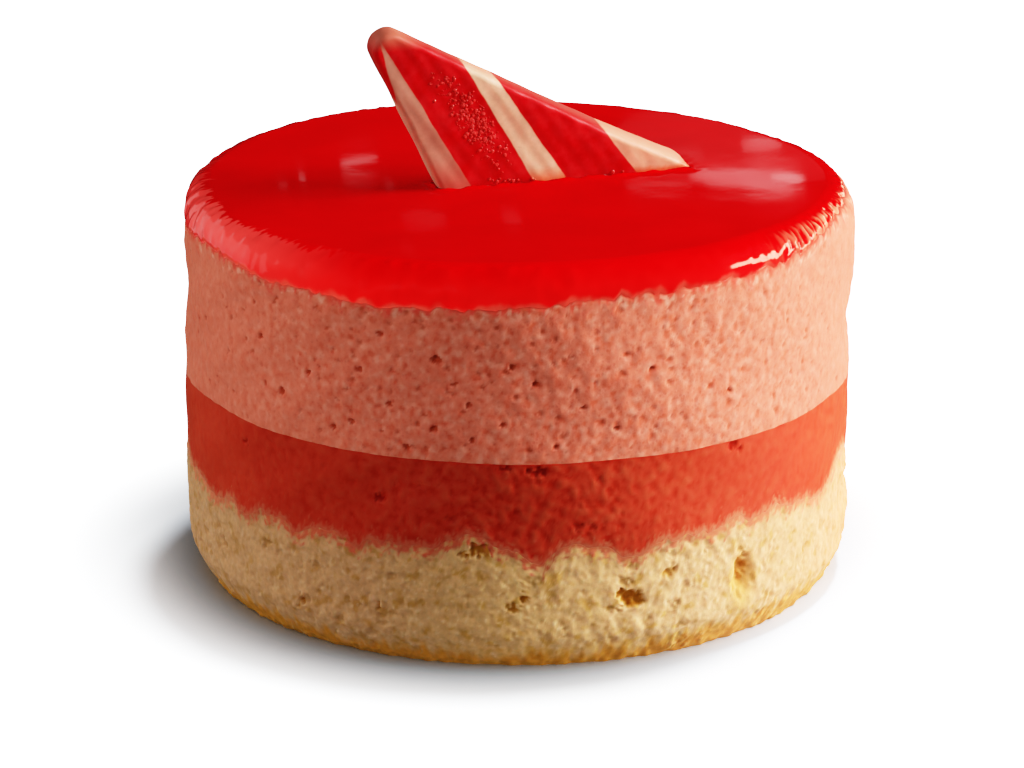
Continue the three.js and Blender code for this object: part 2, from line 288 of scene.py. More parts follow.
def outline_rings(along, inset):
    """Rings of points at a distance over the edge of the flat top, moved in by an inset."""
    turn = np.clip(along / SHOULDER_RADIUS, 0, np.pi / 2)
    reach = SHOULDER_RADIUS - inset
    down = np.maximum(0, along - SHOULDER_LENGTH)
    radius = FLAT_RADIUS + np.minimum(along, 0) + reach * np.sin(turn)
    height = BODY_HEIGHT - SHOULDER_RADIUS + reach * np.cos(turn) - down
    outward = side_radius(height) - RADIUS
    lifted = ramp(height, BODY_HEIGHT - 9, BODY_HEIGHT - 3)
    tilt = RIM_TILT * np.cos(2 * np.radians(ANGLES - RIM_TILT_ANGLE)) * (radius / RADIUS) ** 2
    return ring_points(radius + outward * (np.maximum(radius, 0) / RADIUS) ** 4, height + tilt * lifted)


# Meshes


def add_object(name, data):
    item = bpy.data.objects.new(name, data)
    bpy.context.scene.collection.objects.link(item)
    return item


def make_mesh(name, points, quads, triangles, colours=None, vectors=None):
    """Smooth mesh from points in millimetres, with a colour and named values at each point."""
    mesh = bpy.data.meshes.new(name)
    faces = np.asarray(quads).tolist() + np.asarray(triangles).tolist()
    mesh.from_pydata((np.asarray(points) * MM).astype(np.float32), [], faces, shade_flat=False)
    if colours is not None:
        layer = mesh.color_attributes.new("colour", "FLOAT_COLOR", "POINT")
        rgba = np.concatenate([colours, np.ones((len(colours), 1))], axis=1)
        layer.data.foreach_set("color", rgba.astype(np.float32).ravel())
    for key, value in (vectors or {}).items():
        layer = mesh.attributes.new(key, "FLOAT_VECTOR", "POINT")
        layer.data.foreach_set("vector", np.asarray(value, np.float32).ravel())
    mesh.validate()
    return add_object(name, mesh)


def ring_points(radius, height):
    """Points of rings, from radius and height for each ring and angle."""
    points = np.broadcast_arrays(radius * np.cos(TURNS), radius * np.sin(TURNS), height)
    return np.stack(points, axis=-1).reshape(-1, SEGMENTS, 3)


def ring_faces(count, segments, first):
    """Quads between rings of points that rise from the outside's lower end."""
    index = np.arange(segments)
    after = (index + 1) % segments
    low = first + np.arange(count - 1)[:, None] * segments
    quads = np.stack([low + index, low + after, low + segments + after, low + segments + index], axis=-1)
    return quads.reshape(-1, 4)


def end_cap(first, segments, centre, upper):
    """Triangles between a ring of points and the point in its middle."""
    index = first + np.arange(segments)
    after = np.roll(index, -1)
    middle = np.full(segments, centre)
    return np.stack([index, after, middle] if upper else [middle, after, index], axis=1)


def capped(low, rings, high):
    """Points and faces of a closed body from its lower point over the rings to its upper one."""
    count, segments = rings.shape[:2]
    points = join([low], rings.reshape(-1, 3), [high])
    top = 1 + (count - 1) * segments
    caps = join(end_cap(1, segments, 0, False), end_cap(top, segments, top + segments, True))
    return points, ring_faces(count, segments, 1), caps


def ring_body(name, low, rings, high, colours):
    """Closed body of rings round the cake."""
    flat = colours.reshape(-1, 3)
    colours = join(flat[:1], flat, flat[-1:])
    return make_mesh(name, *capped([0, 0, low], rings, [0, 0, high]), colours)


def torn_rings(radii, gap):
    """Rings of the torn surface between sponge and strawberry layer."""
    return ring_points(np.array(radii)[:, None], np.stack([sponge_top(at) + gap for at in radii]))


# Colours of points


def rgb(red, green, blue):
    return np.array([red, green, blue])


def plain(shade, rows):
    """Rings of points in one colour."""
    return np.broadcast_to(shade, (rows, SEGMENTS, 3))


def blend(base, other, share):
    """Colour field moved towards another colour by a share for each point."""
    return base + (other - base) * np.clip(share, 0, 1)[..., None]


def paint(tint, coats):
    """Colour field with coats laid over it: colour and share for each point."""
    for shade, share in coats:
        tint = blend(tint, shade, share)
    return tint


def round_tone(places):
    """Colour factors round the side, straight between the listed angles."""
    places = np.array(places)
    return np.stack([np.interp(ANGLES, places[:, 0], factors) for factors in places[:, 1:].T], axis=-1)


# Sponge

CRUMB = rgb(0.8, 0.475, 0.245)
CRUMB_PALE = rgb(0.97, 0.66, 0.39)
CRUMB_TAN = rgb(0.62, 0.35, 0.155)
CRUMB_GOLD = rgb(0.62, 0.33, 0.1)
# Painted shade in the pores and in the larger holes
PORE_SHADE = rgb(0.52, 0.27, 0.085)
HOLE_SHADE = rgb(0.5, 0.2, 0.03)
BAKED = rgb(0.8, 0.42, 0.13)
BAKED_SKIN = rgb(0.9, 0.5, 0.2)
CRUST = rgb(0.69, 0.295, 0.058)
# Crust colour for painted shade: the contact shadow low at the front left, and a little of it on the
# underside
CRUST_SHADE = rgb(0.38, 0.175, 0.042)
# Crust where the key light falls on it: painted light
CRUST_LIT = rgb(0.9, 0.365, 0.118)
BERRY = rgb(0.8, 0.088, 0.044)
SOAKED = rgb(0.85, 0.24, 0.13)  # where one has run into the other

# Factors for red, green and blue at angles round the side. They are partly the layers' own colour and partly
# painted shade, darker at the left and front left, away from the key light.
SPONGE_TONE_AND_SHADE = [
    (-180, 0.8, 0.76, 0.74), (-168, 0.78, 0.72, 0.72), (-116, 0.78, 0.72, 0.7), (-102, 0.88, 0.86, 0.78),
    (-90, 1.04, 1.04, 0.92), (-62, 1.01, 0.96, 0.93), (-35, 1.0, 0.84, 0.8), (-12, 1.12, 0.74, 0.7),
    (30, 1.0, 0.82, 0.78), (180, 0.8, 0.76, 0.74),
]
BERRY_TONE_AND_SHADE = [
    (-180, 0.86, 0.95, 0.95), (-163, 0.84, 0.92, 0.92), (-150, 0.8, 0.8, 0.8), (-138, 0.74, 0.62, 0.62),
    (-100, 0.73, 0.58, 0.58), (-88, 0.74, 0.66, 0.66), (-72, 0.7, 0.7, 0.7), (-60, 0.8, 0.82, 0.82),
    (-48, 0.86, 0.82, 0.82), (-35, 1.0, 0.86, 0.86), (-15, 1.0, 1.08, 1.08), (40, 1.0, 1.0, 1.0),
    (110, 0.86, 0.82, 0.82), (180, 0.86, 0.95, 0.95),
]

# How strong the texture is: angles, and share at each
SPONGE_LIVELY = (
    (-180, -140, -110, -60, -40, -15, 60, 180),
    (0.65, 0.7, 1.0, 0.9, 0.75, 0.55, 0.6, 0.65),
)
BERRY_LIVELY = (
    (-180, -150, -118, -95, -75, -50, 40, 180),
    (0.35, 0.35, 0.9, 1.35, 1.25, 0.5, 0.5, 0.35),
)

SPONGE_ROWS = 76
SPONGE_HOLES = [
    # angle, height, half width, half height, depth
    (-71.3, 7.8, 1.25, 1, 1.3), (-72.6, 8.4, 0.8, 0.6, 0.9), (-69.6, 7.3, 0.9, 0.5, 0.9),
    (-64.6, 10.2, 1, 0.55, 0.55), (-49.8, 9, 0.8, 1.3, 0.6), (-50.6, 7.2, 1, 1.1, 0.5),
    (-96.3, 14, 1.3, 0.75, 1.2), (-98.6, 13.2, 0.7, 0.45, 0.9), (-89.2, 8.3, 0.45, 0.75, 0.9),
    (-90.9, 7.4, 0.7, 0.6, 0.7), (-113.6, 6.3, 0.55, 0.5, 1), (-129, 5, 0.6, 0.5, 0.9),
    (-120, 13.4, 0.8, 0.45, 0.8),
]
FRONT_ARC = (-2.9, -0.2)  # where the larger holes are listed, in radians
SKIN_ANGLE = -4  # middle of the far right, where the side is baked rather than cut
GROOVE_ANGLE = -49.5


def sponge_pores(draw):
    """Small pores, larger holes at the hidden sides, and middling ones all round."""
    pores = scatter(draw, 1500, (0.22, 0.36, 3), (0.9, SPONGE_TOP - 0.6, 1), (0.8, 1, 0.28), 0.6)
    larger = scatter(draw, 40, (0.5, 0.5, 1), (2.5, SPONGE_TOP - 4, 1), (1.2, 0.8, 0.6))
    pores += [mark for mark in larger if not FRONT_ARC[0] < mark[0] / RADIUS < FRONT_ARC[1]]
    return pores + scatter(draw, 90, (0.4, 0.4, 1), (1.8, SPONGE_TOP - 3, 1), (1.25, 0.7, 0.32))


def make_sponge():
    torn = sponge_top(RADIUS)
    height = rows_to_edges(SPONGE_ROWS, 0, 1) * torn
    coarse = side_noise(height, 1.6, 5.0, 31)
    middle = side_noise(height, 0.7, 2.0, 32)
    fine = side_noise(height, 0.4, 0.9, 33)
    across = ARCS + 0.22 * side_noise(height, 0.8, 2.4, 34)
    up = height + 0.2 * side_noise(height, 0.8, 2.4, 35)

    draw = np.random.default_rng(36).random
    hollow = stamped(across, up, sponge_pores(draw), 0.7)
    # Loose crumbs that stick to the foot
    crumbs = stamped(across, up, scatter(draw, 110, (0.16, 0.22, 2), (0.3, 1.6, 2), (1.2, 1, 0.8)), 0.6)
    deep = stamped(across, up, placed(SPONGE_HOLES), 0.6)

    skin = near(SKIN_ANGLE, 26) * ramp(height, 0, 3)
    calm = ramp(height, 0, 1.6) * (1 - 0.6 * skin)
    lively = np.interp(ANGLES, *SPONGE_LIVELY)
    relief = (0.048 * coarse + 0.018 * middle + 0.004 * fine) * lively
    outward = relief * calm - hollow * calm * (1 - 0.7 * skin) - 0.7 * deep * ramp(height, 0, 2)
    outward += 0.1 * coarse * (1 - calm) + 0.8 * crumbs
    outward += relief_of(SPONGE_FORMS, height) * calm
    radius = RADIUS - foot_inset(height) + relief_of(BODY_FORMS, height) + outward
    radius = mix(side_radius(height), radius, ramp(torn - height, 0, 0.9))

    # Crumb with paler and darker patches, yellower where it is baked through, low down and in the groove,
    # and painted shade in the pores and in the larger holes, golden at their rims and darkest deep in
    patches = side_noise(height, 1.1, 5.0, 37)
    broad = side_noise(height, 2.5, 9.0, 39)
    grain = side_noise(height, 0.5, 1.2, 38)
    speckle = 0.65 * middle + 0.5 * grain
    groove = bump((turn_from(GROOVE_ANGLE) / 4.2) ** 2 + ((height - 7) / 5.5) ** 2)
    low_gold = ramp(3.6 + 0.8 * patches - height, 0, 2.2) * near(-75, 60)
    skin_gold = skin * ramp(patches + 0.5 * coarse, -0.8, 1.0) * ramp(11.5 - height, 0, 4)
    tint = paint(plain(CRUMB, SPONGE_ROWS), [
        (CRUMB_GOLD, ramp(patches + 0.6 * broad, 0.3, 2.2) * 0.9 * lively),
        (CRUMB * 1.1, ramp(-broad, 0.0, 1.8) * 0.8),
        (CRUMB_PALE, ramp(speckle, 0.2, 1.9) * 0.65 * lively),
        (CRUMB_TAN, ramp(-speckle, 0.4, 2.1) * 0.55 * lively),
        (PORE_SHADE, ramp(hollow, 0.05, 0.26) * 0.7),
        (CRUMB_GOLD, ramp(deep, 0.02, 0.3) * 0.8),
        (HOLE_SHADE, ramp(deep, 0.25, 0.7) * 0.9),
        (BAKED, np.maximum(groove * 0.9, low_gold * 0.55)),
        (BAKED_SKIN, skin_gold * 0.55),
    ])
    # Painted shade round the side, by angle, weaker near the floor
    tint *= mix(1.0, round_tone(SPONGE_TONE_AND_SHADE), ramp(height, -3, 5)[..., None])
    # Browned foot, golder and lighter where the key light falls on it (painted light), with a painted
    # contact shadow low at the front left, and pink where the strawberry layer has soaked in, with that
    # layer's painted shade round the side
    crust_edge = 1.45 + 0.35 * coarse[0] + 0.2 * middle[0]
    crust_edge += 1.3 * near(-22, 64) + 0.5 * near(-142, 28)
    sunlit = ramp(turn_from(-90), 5, 50) * ramp(-turn_from(60), 0, 60)
    # Painted contact shadow low down at the front left
    foot_shadow = ramp(0.5 - height + 0.25 * middle, -0.3, 0.4) * near(-118, 60)
    soaked = ramp(0.66 + 0.4 * middle + 0.22 * grain - (torn - height), -0.8, 0.55)
    tint = paint(tint, [
        (blend(CRUST, CRUST_LIT, sunlit), ramp(crust_edge - height, -1.0, 0.6)),
        (CRUMB_TAN, ramp(crumbs, 0.05, 0.2) * 0.5),
        (CRUST_SHADE, foot_shadow * 0.7),
        (SOAKED * round_tone(BERRY_TONE_AND_SHADE), soaked),
    ])

    bottom = ring_points(np.array([[12.0], [28.0], [33.5]]), 0.0)
    rings = join(bottom, ring_points(radius, height), torn_rings((35.5, 33.0, 28.0), 0.0))
    # Underside: crust with a little painted shade; the hidden top in plain crumb
    colours = join(plain(mix(CRUST, CRUST_SHADE, 0.3), 3), tint, plain(CRUMB, 3))
    return ring_body("sponge", 0.0, rings, SPONGE_TOP, colours)


# Strawberry layer

BERRY_PIT_SHADE = rgb(0.52, 0.012, 0.006)
BERRY_SPECK = rgb(0.44, 0.014, 0.007)
BERRY_LIGHT = rgb(0.86, 0.2, 0.11)
BERRY_SHADOW_LINE = rgb(0.66, 0.03, 0.015)
BERRY_ROWS = 42
BERRY_DOTS = 420
BERRY_SPECKS = [
    # angle, height, half width, half height, depth
    (-142.5, 21.2, 0.5, 0.42, 0.6), (-113.5, 18.8, 0.55, 0.45, 0.6), (-101, 17.4, 1.1, 0.4, 0.2),
    (-87, 22.9, 1.2, 0.55, 0.8), (-92, 23.3, 0.9, 0.3, 0.4), (-80.5, 16.6, 0.6, 0.5, 0.3),
    (-78, 16.4, 0.5, 0.5, 0.25), (-52.3, 23.2, 0.7, 0.6, 0.6), (-50.8, 22.6, 0.4, 0.4, 0.4),
]


def strawberry_dots():
    """Small pits, closer together low down."""
    draw = np.random.default_rng(45).random
    dots = []
    for _ in range(BERRY_DOTS):
        size = 0.14 + 0.26 * draw() ** 2
        up = SPONGE_TOP + draw() ** 1.7 * (BERRY_TOP - SPONGE_TOP - 0.5)
        dots.append(((draw() - 0.5) * RING, up, size * 1.3, size, size * 0.3))
    return dots


def make_strawberry():
    torn = sponge_top(RADIUS) + SEAM
    height = mix(torn, BERRY_TOP, rows_to_edges(BERRY_ROWS, 1, 1))
    above, below = height - torn, BERRY_TOP - height
    coarse = side_noise(height, 1.2, 5.0, 41)
    fine = side_noise(height, 0.45, 1.6, 42)
    across = ARCS + 0.18 * side_noise(height, 0.5, 1.5, 43)
    up = height + 0.15 * side_noise(height, 0.5, 1.5, 44)
    lively = np.interp(ANGLES, *BERRY_LIVELY)
    hollow = stamped(across, up, strawberry_dots(), 0.8) * np.minimum(lively, 1)
    specks = stamped(across, up, placed(BERRY_SPECKS), 0.7)
    low_part = ramp(4.5 - above, 0, 4)
    relief = (0.022 * coarse + (0.002 + 0.006 * low_part) * fine) * lively
    edge = ramp(above, 0, 0.8) * ramp(below, -0.1, 0.25)
    radius = side_radius(height) + (relief - hollow - 0.5 * specks) * edge

    # Mottled red, lighter low down, with painted shade in the pits, dark specks, and pink where it meets the
    # sponge
    tint = paint(plain(BERRY, BERRY_ROWS), [
        (BERRY * rgb(1.03, 1.4, 1.35), ramp(coarse + 0.3 * fine, -0.2, 2.0) * 0.8 * lively),
        (BERRY * rgb(0.86, 0.55, 0.5), ramp(-coarse - 0.5 * fine, 0.1, 2.2) * 0.75 * lively),
        (BERRY_LIGHT, ramp(fine, 0.8, 2.6) * low_part * 0.5),
        (BERRY_PIT_SHADE, ramp(hollow, 0.04, 0.2) * 0.7),
        (BERRY_SPECK, ramp(specks, 0.05, 0.35) * 0.8),
        (SOAKED, ramp(0.55 + 0.28 * fine - above, -0.45, 0.55)),
    ])
    # Painted shade round the side, by angle
    tint *= round_tone(BERRY_TONE_AND_SHADE)
    # Painted shadow: a thin dark line along the top, under the mousse's edge at the front
    shadow_under_mousse = ramp(0.32 + 0.12 * fine - below, 0, 0.3)
    tint = blend(tint, BERRY_SHADOW_LINE, shadow_under_mousse * 0.6 * near(-88, 60))

    top = ring_points(33.0, BERRY_TOP)
    rings = join(torn_rings((28.0, 33.0, 35.5), SEAM), ring_points(radius, height), top)
    colours = join(plain(BERRY, 3), tint, plain(BERRY, 1))
    return ring_body("strawberry_cream", SPONGE_TOP + SEAM, rings, BERRY_TOP, colours)


# Mousse

MOUSSE = rgb(0.85, 0.232, 0.148)
MOUSSE_PALE = rgb(0.93, 0.34, 0.235)
MOUSSE_LUMP_HIGHLIGHT = rgb(0.97, 0.44, 0.31)
MOUSSE_PIT_SHADE = rgb(0.5, 0.07, 0.026)
RUN_IN = rgb(0.84, 0.1, 0.065)  # where glaze has run into the mousse
MOUSSE_ROWS = 80
MOUSSE_TRIES = 6000
MOUSSE_PITS = [
    # angle, height, half size
    (-132.9, 28.6, 0.5), (-103.4, 35, 0.62), (-116.8, 33, 0.45), (-103.8, 27.4, 0.5),
    (-87.3, 32.6, 0.5), (-90.9, 34.4, 0.42), (-98, 30.2, 0.4), (-84, 25.6, 0.45),
    (-79.5, 29.8, 0.38), (-122, 25.9, 0.42), (-53, 29.5, 0.42), (-108.5, 25, 0.4),
    (-127, 31.5, 0.42), (-118.5, 27, 0.4), (-111.5, 29.5, 0.42), (-97.5, 26.3, 0.42),
    (-138, 34, 0.4), (-92.5, 28, 0.38), (-100.5, 32.3, 0.4), (-113, 37.2, 0.42),
    (-74, 27.2, 0.36), (-68, 33.5, 0.36),
]


def mousse_pits(rough, lip, low_along):
    """Random pits, more of them where the side is rough, and the listed ones."""
    draw = np.random.default_rng(56).random
    pits = []
    for _ in range(MOUSSE_TRIES):
        place = (draw() - 0.5) * RING
        column = int((place + RING / 2) / RING_STEP) % SEGMENTS
        if draw() > rough[column] ** 1.5:
            continue
        size = 0.13 + 0.3 * draw() ** 4
        at = mix(lip[column], low_along, draw())
        pits.append((place, at, size * (0.8 + 0.5 * draw()), size, size * 0.35))
    return pits + placed([(at, SIDE_LENGTH - up, size, size * 0.8, size) for at, up, size in MOUSSE_PITS])


def make_mousse():
    low_height = BERRY_TOP + SEAM
    low_along = SIDE_LENGTH - low_height
    lip = lip_run()
    along = mix(low_along, lip + 0.22, rows_to_edges(MOUSSE_ROWS, 1, 0))
    coarse = side_noise(along, 2.0, 8.0, 51)
    middle = side_noise(along, 0.8, 2.4, 52)
    fine = side_noise(along, 0.4, 0.9, 53)
    across = ARCS + 0.07 * side_noise(along, 0.4, 1.3, 54)
    up = along + 0.07 * side_noise(along, 0.4, 1.3, 55)
    # The front and the back were pulled from the ring and are rougher than the two sides
    rough = 0.2 + 0.7 * near(-88, 70) ** 0.5 + 0.35 * near(90, 85)
    hollow = stamped(across, up, mousse_pits(rough, lip, low_along), 0.9)
    relief = 0.035 * coarse + (0.013 * middle + 0.003 * fine) * rough
    lip_gap = along - lip
    at_lip = ramp(0.9 - lip_gap, 0, 0.8)
    inset = hollow * ramp(low_along - along, 0, 0.3) - relief

    mottle = 0.3 * fine + 0.7 * middle + 0.6 * side_noise(along, 1.2, 3.5, 57)
    run_in = 0.35 + 0.3 * middle[40] + 0.1 * fine[40]
    wet = ramp(run_in - lip_gap, -0.45, 0.45)
    blots = ramp(0.8 * middle + 0.6 * coarse, 0.3, 1.6) * ramp(2.4 - lip_gap, 0, 1.6)
    # Pale spots in a band just below the lip: painted highlights of small lumps
    crumbs = ramp(middle - 0.5 * coarse, 0.6, 1.8) * bump(((lip_gap - 0.7) / 0.9) ** 2)
    # Mottled, with painted shade in the pits, red where glaze has run in, and painted highlights below the
    # lip
    tint = paint(plain(MOUSSE, MOUSSE_ROWS), [
        (MOUSSE_PALE, ramp(mottle, 0.0, 2.0) * 0.95 * rough),
        (MOUSSE * rgb(0.88, 0.6, 0.5), ramp(-mottle, 0.1, 2.0) * 0.95 * rough),
        (MOUSSE * rgb(0.96, 0.85, 0.82), ramp(coarse, 0.2, 2.0) * 0.5),
        (MOUSSE_PIT_SHADE, ramp(hollow, 0.02, 0.18) * 0.85),
        (RUN_IN, np.maximum(wet * 0.9, blots * 0.5)),
        (MOUSSE_LUMP_HIGHLIGHT, crumbs * 0.7),
    ])

    rings = [outline_rings(along, inset * (1 - at_lip) + 0.02 * at_lip)]
    for at in (lip + 0.04, lip * 0.7, lip * 0.35, lip * 0.0):
        thickness = mix(GLAZE_ON_TOP, GLAZE_AT_LIP, np.clip(at / lip, 0, 1))
        rings.append(outline_rings(at, thickness + SEAM))
    top = BODY_HEIGHT - GLAZE_ON_TOP - SEAM
    rings.append(ring_points(FLAT_RADIUS / 2, top))
    colours = join(tint, plain(RUN_IN, 5))
    return ring_body("mousse", low_height, np.concatenate(rings), top, colours)


# Glaze

GLAZE_DEEP = rgb(0.66, 0.0004, 0.003)
GLAZE_THIN = rgb(0.86, 0.01, 0.01)
# At the left the thin film also carries a painted reflection
GLAZE_FILM_AND_SHEEN = rgb(0.93, 0.075, 0.065)  # so thin that the mousse shows through
GLAZE_EDGE = rgb(0.86, 0.1, 0.065)
GLAZE_GLINT = rgb(0.92, 0.3, 0.17)
OUTER_ROWS = 40
# Slight swellings of the pool that catch light: x, y, half length, half depth, turn, height
POOL_FORMS = [(22, 0, 15, 9, 4, 0.012), (-18, 8, 8, 7, 12, 0.01)]


def lip_run():
    """Where the glaze ends over the edge, with small runs and nibbles."""
    run = glaze_run(ANGLES)
    nibble = 0.13 * ring_noise(1.8, 6.0, 61) + 0.035 * ring_noise(0.7, 2.0, 62)
    return run + nibble * ramp(run, 0.6, 3.0)


def pool_height(x, y):
    height = np.zeros_like(x)
    for at_x, at_y, half_length, half_depth, turn, amount in POOL_FORMS:
        cos, sin = np.cos(np.radians(turn)), np.sin(np.radians(turn))
        along = ((x - at_x) * cos + (y - at_y) * sin) / half_length
        deep = (-(x - at_x) * sin + (y - at_y) * cos) / half_depth
        height += amount * bump(along**2 + deep**2)
    return height


def glaze_outside(lip):
    """Points and colours from the lip back over the shoulder to the edge of the flat top."""
    along = lip * np.linspace(1, 0, OUTER_ROWS)[:, None] ** 1.15
    to_lip = lip - along
    ridge = band_noise((OUTER_ROWS, SEGMENTS), (1.4 / OUTER_ROWS, RING_STEP), 0.75, 2.0, 63)
    swell = band_noise((OUTER_ROWS, SEGMENTS), (5.0 / OUTER_ROWS, RING_STEP), 2.0, 8.0, 64)
    comb = 1.2 * near(-29, 24) + 0.2 * near(-148, 34) + 0.3 * near(100, 60)
    swell_height = 0.05 - 0.04 * near(-62, 28) ** 0.5
    on_shoulder = ramp(along, 0.4, 1.6) * ramp(to_lip, 0, 0.7)
    ripple = (0.05 * comb * ridge + swell_height * swell) * on_shoulder
    # Rounded lip: the surface turns down onto the mousse over the last stretch
    lip_drop = (GLAZE_AT_LIP + GLAZE_SWELL) * (1 - np.clip(to_lip / 0.6, 0, 1)) ** 2
    points = outline_rings(along, lip_drop - ripple - GLAZE_SWELL)

    # Paler towards the lip, and most of all at the left, where it is only a film over the mousse and a
    # painted reflection of light from the left lies on it; painted glints on the ridges at the right
    film_and_sheen = ramp(along - (0.9 + 0.45 * ridge + 0.25 * swell), -0.15, 0.25) * near(-158, 44)
    film_and_sheen *= mix(1.0, 0.55, ramp(along + 0.3 * swell, 3.4, 5.0))
    glint = ramp(along, 1.2, 2.4) * near(-22, 24) * ramp(ridge, -0.6, 1.0)
    tint = paint(plain(GLAZE_DEEP, OUTER_ROWS), [
        (GLAZE_THIN, ramp(along + 0.25 * swell, 1.2, 5.8)),
        (GLAZE_FILM_AND_SHEEN, film_and_sheen),
        (GLAZE_EDGE, ramp(0.45 + 0.22 * swell - to_lip, -0.2, 0.5) * 0.8),
        (GLAZE_GLINT, glint * 0.8),
    ])
    return points, tint


def glaze_pool(turn):
    """Flat top, in rings that are close enough together for the meniscus round the plate."""
    radii = join(np.linspace(FLAT_RADIUS - 0.5, 27.0, 10), np.linspace(26.7, 0.6, 80))[:, None]
    x, y = radii * np.cos(turn), radii * np.sin(turn)
    tilt = RIM_TILT * np.cos(2 * (turn - np.radians(RIM_TILT_ANGLE))) * (radii / RADIUS) ** 2
    z = BODY_HEIGHT + GLAZE_SWELL + tilt + pool_height(x, y)
    distance = plate_distance(x, y)
    climb = 0.2 + 0.1 * np.sin(1.7 * x + 0.6 * y) + 0.05 * np.sin(4.1 * x - 2.3 * y)
    z += climb * np.exp(-np.maximum(distance, 0) / 0.42) * (distance > -0.12)
    z = np.where(distance < -0.12, BODY_HEIGHT - 1.25, z)
    return np.stack([x, y, z], axis=-1)


def make_glaze():
    lip = lip_run()
    outer, tint = glaze_outside(lip)
    # Underside, from the middle out to the lip
    rings = [ring_points(FLAT_RADIUS / 2, BODY_HEIGHT - GLAZE_ON_TOP)]
    for part in (0.0, 0.35, 0.7, 1.0):
        thickness = mix(GLAZE_ON_TOP, GLAZE_AT_LIP, part)
        rings.append(outline_rings(lip * part, thickness))
    rings = join(*rings, outer)
    pool = glaze_pool(TURNS[::2])

    # The pool has half as many points in a ring, joined to the last ring outside it
    half = SEGMENTS // 2
    points = join(
        [[0, 0, BODY_HEIGHT - GLAZE_ON_TOP]], rings.reshape(-1, 3), pool.reshape(-1, 3),
        [[0, 0, BODY_HEIGHT + GLAZE_SWELL]])
    last_ring = 1 + (len(rings) - 1) * SEGMENTS
    top_first = 1 + len(rings) * SEGMENTS
    innermost = top_first + (len(pool) - 1) * half
    small = np.arange(half)
    inside, inside_after = top_first + small, top_first + (small + 1) % half
    between, next_even = last_ring + 2 * small + 1, last_ring + (2 * small + 2) % SEGMENTS
    triangles = join(
        end_cap(1, SEGMENTS, 0, False),
        np.stack([last_ring + 2 * small, between, inside], axis=1),
        np.stack([between, next_even, inside_after], axis=1),
        np.stack([between, inside_after, inside], axis=1),
        end_cap(innermost, half, innermost + half, True),
    )
    quads = join(ring_faces(len(rings), SEGMENTS, 1), ring_faces(len(pool), half, top_first))
    tints = np.broadcast_to(GLAZE_DEEP, (len(points), 3)).copy()
    tints[top_first - OUTER_ROWS * SEGMENTS:top_first] = tint.reshape(-1, 3)
    return make_mesh("strawberry_glaze", points, quads, triangles, tints)


# Chocolate plate

YAW = np.radians(PLATE_YAW)
LEAN = np.radians(PLATE_LEAN)
PLATE_ACROSS = np.array([np.cos(YAW), np.sin(YAW), 0.0])
TOWARDS_FRONT = np.array([np.sin(YAW), -np.cos(YAW), 0.0])
PLATE_UP = np.array([0, 0, np.cos(LEAN)]) + TOWARDS_FRONT * np.sin(LEAN)
PLATE_OUT = np.cross(PLATE_ACROSS, PLATE_UP)
PLATE_FOOT_LENGTH = 29.6
PLATE_STEPS = 420
PLATE_MIDDLE = np.array([8.0, 4.6])
# Drops where the front face meets the glaze: across, up
FOOT_DROPS = [
    (5.6, 0.9), (6.0, 0.7), (6.5, 0.55), (6.8, 0.85), (7.4, 0.5), (7.9, 0.6),
    (8.4, 0.45), (9.0, 0.5), (10.6, 0.6), (10.9, 0.45), (20.2, 0.5), (21.4, 0.45),
]
BEAD_TRIES = 330


def plate_depth(across):
    return PLATE_THICK + PLATE_WEDGE * across


def plate_distance(x, y):
    """Distance on the glaze's surface from the plate where it stands, below 0 inside it."""
    dx, dy = x - PLATE_CORNER[0], y - PLATE_CORNER[1]
    across = dx * PLATE_ACROSS[0] + dy * PLATE_ACROSS[1]
    depth = -(dx * TOWARDS_FRONT[0] + dy * TOWARDS_FRONT[1])
    outside_x = np.maximum(-across, across - PLATE_FOOT_LENGTH)
    outside_y = np.maximum(-depth, depth - plate_depth(across))
    outside = np.hypot(np.maximum(outside_x, 0), np.maximum(outside_y, 0))
    return outside + np.minimum(np.maximum(outside_x, outside_y), 0)


def rounded_outline():
    """Closed outline with its corners rounded, as evenly spaced points."""
    corners = np.array([corner[:2] for corner in PLATE_OUTLINE])
    points = []
    for index, (_, _, rounding) in enumerate(PLATE_OUTLINE):
        corner = corners[index]
        if rounding == 0:
            points.append(corner)
            continue
        to_before = corners[index - 1] - corner
        to_after = corners[(index + 1) % len(corners)] - corner
        to_before /= np.linalg.norm(to_before)
        to_after /= np.linalg.norm(to_after)
        half = np.arccos(np.clip(to_before @ to_after, -1, 1)) / 2
        middle = (to_before + to_after) / np.linalg.norm(to_before + to_after)
        centre = corner + middle * rounding / np.sin(half)
        touch = corner + to_before * rounding / np.tan(half)
        start = np.arctan2(*(touch - centre)[::-1])
        for turn in start + np.linspace(0, np.pi - 2 * half, 24):
            points.append(centre + rounding * np.array([np.cos(turn), np.sin(turn)]))
    closed = np.array([*points, points[0]])
    length = join([0], np.cumsum(np.linalg.norm(np.diff(closed, axis=0), axis=1)))
    at = np.linspace(0, length[-1], PLATE_STEPS, endpoint=False)
    return np.stack([np.interp(at, length, closed[:, axis]) for axis in (0, 1)], axis=1)


def plate_to_cake(local):
    return (np.array(PLATE_CORNER) + local[..., :1] * PLATE_ACROSS + local[..., 1:2] * PLATE_UP
            + local[..., 2:] * PLATE_OUT)


def hand_made(local):
    """Slight waves of the plate's faces."""
    u, v, w = local[..., 0], local[..., 1], local[..., 2]
    wave = 0.07 * np.sin(0.55 * u + 0.9 * v + 1) + 0.05 * np.sin(1.3 * u - 0.8 * v)
    wave += 0.025 * np.sin(3.1 * u + 2.2 * v + 2)
    return np.stack([u + 0.05 * np.sin(0.9 * v + w), v, w + wave], axis=-1)


